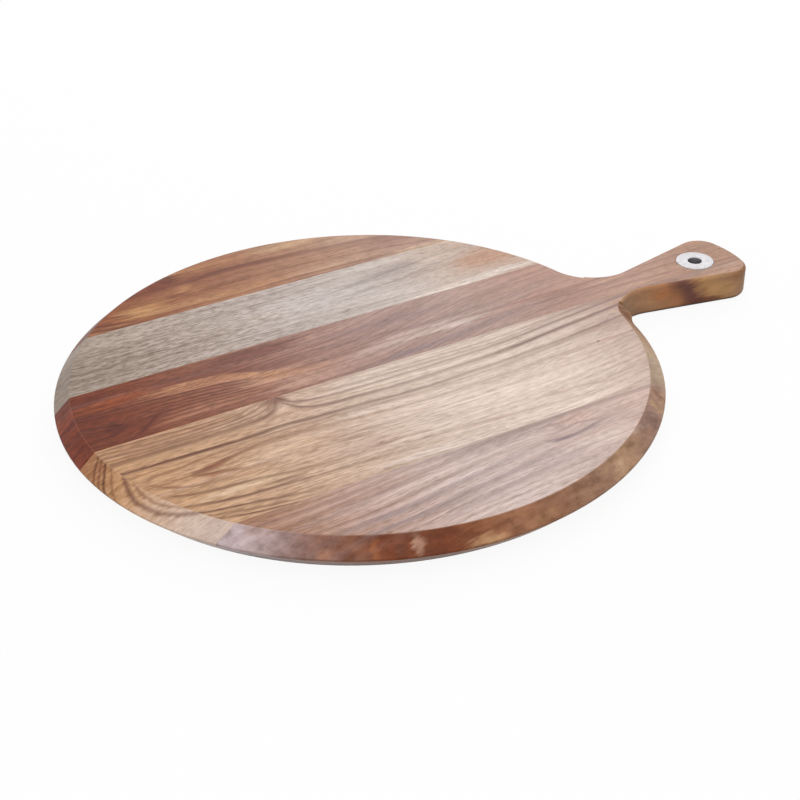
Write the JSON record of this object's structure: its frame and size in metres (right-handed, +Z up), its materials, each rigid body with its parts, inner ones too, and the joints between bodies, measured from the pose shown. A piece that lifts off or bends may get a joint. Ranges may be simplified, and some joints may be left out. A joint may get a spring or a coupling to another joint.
{
  "type": "bread board",
  "caption": "Round wooden bread board of edge-glued staves with a double-bevelled rim and a flared paddle handle, with a metal-lined hanging hole.",
  "frame": {"origin": "centre of the disc, on its flat underside", "axes": "+X along the grain and towards the tip of the handle, +Y towards the rear stave, +Z up out of the serving face"},
  "size_m": [0.4635, 0.36, 0.0203],
  "materials": {
    "golden_stave": "satin oil over streaked golden-brown acacia",
    "grey_stave": "satin oil over pale grey-beige acacia with fine pores",
    "red_stave": "satin oil over deep red-brown acacia",
    "tan_stave": "satin oil over tan acacia with dark growth lines",
    "rose_stave": "satin oil over pinkish grey-brown acacia",
    "eyelet_metal": "satin nickel"
  },
  "bodies": {
    "root": {"stave_rear": "golden_stave", "stave_grey": "grey_stave", "stave_red": "red_stave", "stave_wide": "tan_stave", "stave_front": "rose_stave", "eyelet_top": "eyelet_metal", "eyelet_bottom": "eyelet_metal"}
  },
  "joints": []
}
